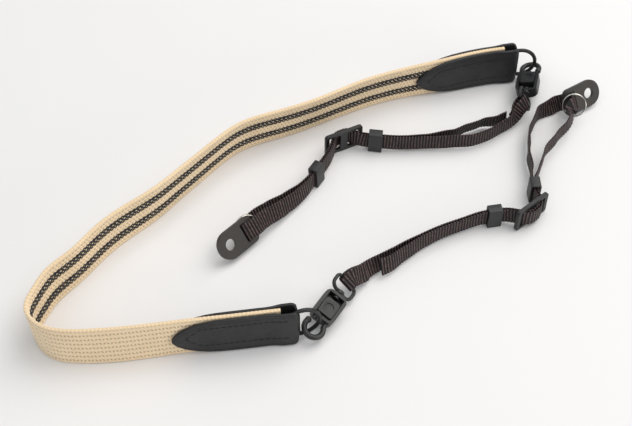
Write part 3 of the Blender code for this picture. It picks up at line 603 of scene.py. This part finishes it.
def metal_material(name, base, roughness, metallic):
    made, nodes, links, shader = material(name, base, roughness, metallic)
    marks = noise(nodes, links, 500.0, 3.0, (1.0, 1.0, 0.3))
    links.new(ranged(nodes, links, marks, roughness * 0.7, roughness * 1.4), shader.inputs["Roughness"])
    colour = colour_ramp(nodes, links, noise(nodes, links, 160.0), (
        (0.3, tuple(0.85 * part for part in base)), (0.7, base),
    ))
    links.new(colour, shader.inputs["Base Color"])
    bumped(nodes, links, shader, marks, 0.00005, 0.4)
    return made


def dress(obj, finish, slot, body, *nodes):
    obj.data.materials.clear()
    obj.data.materials.append(finish)
    if nodes:
        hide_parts(*nodes)
    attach(obj, body)


# Wide webbing

def pulse(value, sharpness):
    """Ridge of height 1 at whole numbers, narrower with more sharpness."""
    return (0.5 + 0.5 * np.cos(2.0 * math.pi * value)) ** sharpness


def outer_knit(along, across):
    """Depth of the outer face: slanted stitches in V shapes, with holes between their rows."""
    wale = along / wale_pitch
    fold = np.abs(2.0 * (wale - np.floor(wale)) - 1.0)
    row = across / course_pitch + stitch_slant * fold
    leg = np.sin(2.0 * math.pi * wale) ** 2
    shape = outer_hole_between + (1.0 - outer_hole_between) * leg
    hole = outer_hole_strength * pulse(row, outer_hole_sharpness) * shape
    groove = pulse(wale * 2.0, groove_sharpness) * wale_groove_depth / stitch_hole_depth
    return np.clip(hole + groove, 0.0, outer_hole_strength)


def inner_knit(along, across):
    """Depth of the inner face: a grid of small purl bumps."""
    row = across / inner_pitch
    shift = 0.5 * (np.floor(row + 0.5) % 2.0)
    hole = pulse(along / inner_pitch + shift, inner_hole_sharpness) * pulse(row, inner_hole_sharpness)
    return np.clip(inner_hole_strength * hole, 0.0, 1.0)


# Rows of an edge table: inset from the strip's edge, then the level as a share of half the thickness
KNIT_EDGE_ROWS = ((0.0, 0.32), (0.1, 0.66), (0.34, 0.9), (0.7, 1.0))


def shoulder_webbing():
    strip = coiled_strip()
    count = int(strip.length / knit_step)
    places = np.linspace(0.0, strip.length, count + 1)
    middle, across, out, width, thickness = strip.at(places)
    insets = np.array([row[0] for row in KNIT_EDGE_ROWS])
    levels = np.array([row[1] for row in KNIT_EDGE_ROWS])
    flat_half = strap_width / 2.0 - insets[-1] - 0.35
    inside = np.linspace(-flat_half, flat_half, knit_points)
    sides = np.concatenate([insets - strap_width / 2.0, inside, (strap_width / 2.0 - insets)[::-1]])
    level = np.concatenate([levels, np.ones(knit_points), levels[::-1]])
    nearness = np.clip((np.abs(sides) - strap_width / 2.0 + edge_reach) / edge_reach, 0.0, 1.0)
    waver = edge_bump * pulse(places / edge_pitch, 1.0)[:, None] * nearness[None, :]
    side = sides[None, :] - np.sign(sides)[None, :] * waver
    along = np.broadcast_to(places[:, None], side.shape)
    fade = (1.0 - nearness)[None, :]
    inner_depth = inner_knit(along, side) * fade
    outer_depth = outer_knit(along, side) * fade
    half = strap_thickness / 2.0 * level[None, :]
    inner = half - inner_depth * inner_hole_depth
    outer = -half + outer_depth * stitch_hole_depth
    upper = middle[:, None, :] + across[:, None, :] * side[..., None] + out[:, None, :] * inner[..., None]
    lower = middle[:, None, :] + across[:, None, :] * side[..., None] + out[:, None, :] * outer[..., None]
    rings = np.concatenate([upper, lower[:, ::-1]], axis=1)
    # Painted shade values: the knit's holes, and the edges with their notches, are painted darker
    bumps = edge_painted_shade_least + edge_painted_shade_more * pulse(places / edge_pitch, 1.0)
    edge_painted_shade = nearness[None, :] * bumps[:, None]
    painted_shading = np.concatenate([inner_depth + edge_painted_shade, (outer_depth + edge_painted_shade)[:, ::-1]], axis=1)
    knit = loft("shoulder_webbing_knit", rings, painted_shading)
    dress(knit, cotton_material(), "sand_cotton", "strap", "shoulder_webbing")


def rubber_stripes():
    """Two chains of rubber thread on the inner face: two crossing threads with a wavy thread on each side."""
    strip = coiled_strip()
    rubber = rubber_material()
    for label, share in zip(("upper", "lower"), stripe_places):
        parts = []
        places = np.arange(stripe_inset, strip.length - stripe_inset, stripe_pitch / stripe_steps)
        middle, across, out, width, thickness = strip.at(places)
        phase = math.pi * places / stripe_pitch
        for sign in (1.0, -1.0):
            swing = sign * stripe_half_width * np.sin(phase)
            lift = thickness / 2.0 - stripe_radius * 0.35 + sign * stripe_radius * 0.55 * np.cos(phase)
            line = middle + across * (share * width + swing)[:, None] + out * lift[:, None]
            first, second = line_directions(line, out)
            parts.append(tube_mesh(line, first, second, stripe_radius, stripe_sides))
        for sign in (1.0, -1.0):
            swing = sign * (stripe_edge + stripe_edge_swing * np.cos(2.0 * phase))
            lift = thickness / 2.0 + stripe_edge_radius * (0.35 * np.cos(2.0 * phase) - 0.4)
            line = middle + across * (share * width + swing)[:, None] + out * lift[:, None]
            first, second = line_directions(line, out)
            parts.append(tube_mesh(line, first, second, stripe_edge_radius, stripe_edge_sides))
        stripe = joined("rubber_stripe_" + label, parts)
        dress(stripe, rubber, "black_leather", "strap")


def line_directions(line, out):
    """Two directions across a line, the second near the given one."""
    along = unit_rows(np.gradient(line, axis=0))
    first = unit_rows(np.cross(along, out))
    return first, np.cross(first, along)


# Leather ends

# Rows as in the knit's edge table, with a groove in the outer side
LEATHER_OUTER_ROWS = (
    (0.0, 0.0),
    (0.06, 0.5),
    (0.22, 0.82),
    (0.55, 0.98),
    (1.25, 1.0),
    (groove_inset - groove_flare, 0.94),
    (groove_inset, 0.76),
    (groove_inset + groove_flare, 0.94),
    (groove_inset + 0.6, 1.0),
)
LEATHER_INNER_ROWS = ((0.06, 0.55), (0.3, 0.95), (0.8, 1.0))


def leather_rings(strip, places):
    middle, across, out, width, thickness = strip.at(places)
    rings = []
    painted_shading_values = []
    for index in range(len(places)):
        half = thickness[index] / 2.0
        outer = profile_points(LEATHER_OUTER_ROWS, width[index], half)
        inner = [(a, -level) for a, level in profile_points(LEATHER_INNER_ROWS, width[index], half)[::-1]]
        section = np.array(outer + inner)
        rings.append(middle[index] + section[:, :1] * across[index] + section[:, 1:] * out[index])
        # The groove's points on the outer side get painted shade
        groove = np.abs(np.abs(section[:, 0]) - (width[index] / 2.0 - groove_inset)) < 0.12
        painted_shading_values.append(np.where(groove & (section[:, 1] > 0.0), groove_painted_shade, 0.0))
    return np.array(rings), np.array(painted_shading_values)


def stitch_side(distance):
    """How far a stitch row lies from the flap's middle at a distance from its tip."""
    closing = np.clip((distance - stitch_start) / (stitch_shoulder - stitch_start), 0.0, 1.0)
    return stitch_half_gap * closing


def stitches(strip):
    """Small raised threads in two rows on each flap, joined near its tip."""
    parts = []
    turns = np.linspace(0.0, math.pi, stitch_turns)
    count = int((stitch_end - stitch_start) / stitch_pitch)
    for flap in (0, 1):
        for sign in (1.0, -1.0):
            for index in range(count):
                start = stitch_start + index * stitch_pitch
                from_tip = start + stitch_length * (0.5 - 0.5 * np.cos(turns))
                places = from_tip if flap == 0 else strip.length - from_tip
                middle, across, out, width, thickness = strip.at(places)
                lift = thickness / 2.0 - stitch_radius * 0.5 + stitch_radius * 0.75 * np.sin(turns)
                side = sign * stitch_side(from_tip) + stitch_shift
                line = middle + across * side[:, None] + out * lift[:, None]
                first, second = line_directions(line, out)
                radius = stitch_radius * (0.55 + 0.45 * np.sin(turns))
                parts.append(tube_mesh(line, first, second, radius, stitch_sides))
    return parts


def leather_end(prefix, leather, thread):
    node = prefix + "_leather_end"
    strip = lofted_strip(node)
    if float(strip.out[0] @ (strip.middle[0] - strip.middle[-1])) < 0.0:
        strip.out = -strip.out
    count = int(strip.length / leather_step)
    places = np.linspace(0.0, strip.length, count + 1)
    rings, painted_shading_values = leather_rings(strip, places)
    piece = loft(prefix + "_leather", rings, painted_shading_values)
    dress(piece, leather, "black_leather", "strap", node)
    width = strip.at(places)[3]
    seam = joined(prefix + "_leather_stitches", stitches(strip))
    dress(seam, thread, "black_leather", "strap")


# Thin webbing of the leads

LEAD_EDGE_ROWS = ((0.0, 0.0), (0.08, 0.55), (0.32, 0.9), (0.8, 1.0))


def lead_webbing(prefix, nylon):
    node = prefix + "_lead_webbing"
    strip = lofted_strip(node)
    count = int(strip.length / rib_pitch) * rib_steps
    places = np.linspace(0.0, strip.length, count + 1)
    middle, across, out, width, thickness = strip.at(places)
    valley = pulse(np.arange(count + 1) / rib_steps, 1.5)
    rings = []
    painted_shading_values = []
    for index in range(count + 1):
        half = thickness[index] / 2.0 * (1.0 - rib_depth * valley[index])
        full = width[index] - rib_narrowing * valley[index]
        upper = profile_points(LEAD_EDGE_ROWS, full, half)
        lower = [(a, -level) for a, level in upper[::-1][1:-1]]
        section = np.array(upper + lower)
        rings.append(middle[index] + section[:, :1] * across[index] + section[:, 1:] * out[index])
        # Painted shading values: 0 on the rib tops, painted lighter, and 1 in the valleys, painted darker
        painted_shading_values.append(np.full(len(section), valley[index]))
    piece = loft(prefix + "_lead", np.array(rings), np.array(painted_shading_values))
    dress(piece, nylon, "black_nylon", "strap", node)


# Hardware

def moulded(node, name, width, segments=3):
    """Copy of a CAD node with its flat faces joined and its edges rounded."""
    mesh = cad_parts[node].data.copy()
    mesh.name = name
    work = bmesh.new()
    work.from_mesh(mesh)
    bmesh.ops.remove_doubles(work, verts=work.verts, dist=weld * MM)
    bmesh.ops.dissolve_limit(work, angle_limit=math.radians(1.0), verts=work.verts, edges=work.edges)
    work.to_mesh(mesh)
    work.free()
    obj = bpy.data.objects.new(name, mesh)
    bpy.context.scene.collection.objects.link(obj)
    bevel = obj.modifiers.new("round", "BEVEL")
    bevel.width = width * MM
    bevel.segments = segments
    bevel.limit_method = "ANGLE"
    bevel.angle_limit = math.radians(round_angle_deg)
    bevel.use_clamp_overlap = True
    mesh.shade_smooth()
    mesh.set_sharp_from_angle(angle=math.radians(smooth_angle_deg))
    return obj


def round_ring(node, name):
    """Smooth torus where a CAD ring is."""
    points = np.array([tuple(vertex.co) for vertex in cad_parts[node].data.vertices]) / MM
    centre = points.mean(0)
    first, second, normal = np.linalg.svd(points - centre, full_matrices=False)[2]
    radial = np.linalg.norm((points - centre) - np.outer((points - centre) @ normal, normal), axis=1)
    radius = (radial.max() + radial.min()) / 2.0
    wire = (radial.max() - radial.min()) / 2.0
    angles = 2.0 * math.pi * np.arange(ring_steps) / ring_steps
    rays = np.outer(np.cos(angles), first) + np.outer(np.sin(angles), second)
    normals = np.tile(normal, (ring_steps, 1))
    return joined(name, [tube_mesh(centre + rays * radius, rays, normals, wire, ring_sides, closed=True)])


def split_ring(node, name):
    """Round wire along a CAD split ring's own turns."""
    loops = node_loops(node, 6)
    middle = loops.mean(1)
    radius = float(np.linalg.norm(loops - middle[:, None, :], axis=2).mean())
    steps = np.linalg.norm(np.diff(middle, axis=0), axis=1)
    distance = np.concatenate([[0.0], np.cumsum(steps)])
    places = np.linspace(0.0, distance[-1], 2 * ring_steps)
    line = cubic_through(distance, middle, places)
    centre = (middle.max(0) + middle.min(0)) / 2.0
    normal = np.linalg.svd(middle - middle.mean(0), full_matrices=False)[2][2]
    normals = np.tile(normal, (len(line), 1))
    rays = unit_rows((line - centre) - np.outer((line - centre) @ normal, normal))
    return joined(name, [tube_mesh(line, rays, normals, radius, wire_sides)])


def hardware():
    plastic = plastic_material("dark_plastic", (0.020, 0.020, 0.020), 0.5)
    clasp_plastic = plastic_material("clasp_plastic", (0.012, 0.012, 0.012), 0.42)
    fibre = plastic_material("protector_plastic", (0.034, 0.029, 0.026), 0.42, 2200.0)
    black_metal = metal_material("black_metal", (0.009, 0.009, 0.010), 0.36, 0.0)
    nickel = metal_material("nickel", (0.70, 0.67, 0.61), 0.16, 1.0)
    for prefix in ("near", "far"):
        ring = round_ring(prefix + "_ring", prefix + "_round_ring")
        dress(ring, black_metal, "black_metal", "strap", prefix + "_ring")
        ring_wire = split_ring(prefix + "_split_ring", prefix + "_key_ring")
        dress(ring_wire, nickel, "nickel", "strap", prefix + "_split_ring")
        for part in ("inner_keeper", "outer_keeper", "buckle"):
            piece = moulded(prefix + "_" + part, prefix + "_" + part + "_moulded", edge_round)
            dress(piece, plastic, "dark_plastic", "strap", prefix + "_" + part)
        piece = moulded(prefix + "_lug_protector", prefix + "_lug_protector_plate", plate_round)
        dress(piece, fibre, "dark_plastic", "strap", prefix + "_lug_protector")
        body = moulded(prefix + "_clasp_body", prefix + "_clasp_shell", edge_round)
        dress(body, clasp_plastic, "dark_plastic", "strap", prefix + "_clasp_body")
        eye = moulded(prefix + "_clasp_eye", prefix + "_clasp_loop", wire_round, 2)
        dress(eye, clasp_plastic, "dark_plastic", "strap", prefix + "_clasp_eye")
        gate = moulded(prefix + "_clasp_gate", prefix + "_clasp_slider", plate_round)
        dress(gate, clasp_plastic, "dark_plastic", prefix + "_gate", prefix + "_clasp_gate")


# Floor, light and camera

def area_light(name, place, aim, width, height, energy, colour):
    data = bpy.data.lights.new(name, "AREA")
    data.shape = "RECTANGLE"
    data.size = width
    data.size_y = height
    data.energy = energy
    data.color = colour
    obj = bpy.data.objects.new(name, data)
    obj.location = place
    obj.rotation_euler = (Vector(aim) - Vector(place)).to_track_quat("-Z", "Y").to_euler()
    bpy.context.scene.collection.objects.link(obj)


def studio():
    mesh = bpy.data.meshes.new("floor")
    half = floor_size_m / 2.0
    corners = [(-half, -half, 0.0), (half, -half, 0.0), (half, half, 0.0), (-half, half, 0.0)]
    mesh.from_pydata(corners, [], [(0, 1, 2, 3)])
    floor = bpy.data.objects.new("floor", mesh)
    bpy.context.scene.collection.objects.link(floor)
    made, nodes, links, shader = material("pale_floor", (0.86, 0.845, 0.835), 0.95)
    shader.inputs["Specular IOR Level"].default_value = 0.1
    tone = colour_ramp(nodes, links, noise(nodes, links, 3.0, 2.0), (
        (0.3, (0.855, 0.842, 0.832)), (0.7, (0.865, 0.850, 0.838)),
    ))
    links.new(tone, shader.inputs["Base Color"])
    mesh.materials.append(made)

    world = bpy.data.worlds.new("studio")
    bpy.context.scene.world = world
    world.use_nodes = True
    background = world.node_tree.nodes["Background"]
    background.inputs["Color"].default_value = (0.86, 0.93, 1.0, 1.0)
    background.inputs["Strength"].default_value = 0.39
    area_light("key", (0.75, 0.55, 1.35), (0.0, 0.0, 0.0), 1.5, 1.5, 18.5, (1.0, 0.965, 0.93))
    area_light("top", (-0.1, -0.45, 1.7), (0.0, 0.0, 0.0), 2.6, 2.6, 14.2, (1.0, 0.985, 0.975))
    area_light("side", (0.9, -0.65, 0.28), (0.05, 0.0, 0.02), 0.5, 0.3, 2.2, (1.0, 0.94, 0.88))


def camera():
    tilt = math.radians(view_elevation_deg)
    data = bpy.data.cameras.new("camera")
    data.sensor_width = sensor_width
    data.lens = lens_length
    data.clip_start = 0.01
    obj = bpy.data.objects.new("camera", data)
    target = Vector(view_target_m)
    obj.location = target + Vector((0.0, -math.cos(tilt), math.sin(tilt))) * view_distance_m
    obj.rotation_euler = (math.pi / 2.0 - tilt, 0.0, 0.0)
    bpy.context.scene.collection.objects.link(obj)
    bpy.context.scene.camera = obj


camera()
studio()
shoulder_webbing()
rubber_stripes()
leather = leather_material()
thread = thread_material()
nylon = nylon_material()
for prefix in ("near", "far"):
    leather_end(prefix, leather, thread)
    lead_webbing(prefix, nylon)
hardware()
bpy.context.scene.view_settings.view_transform = "Standard"
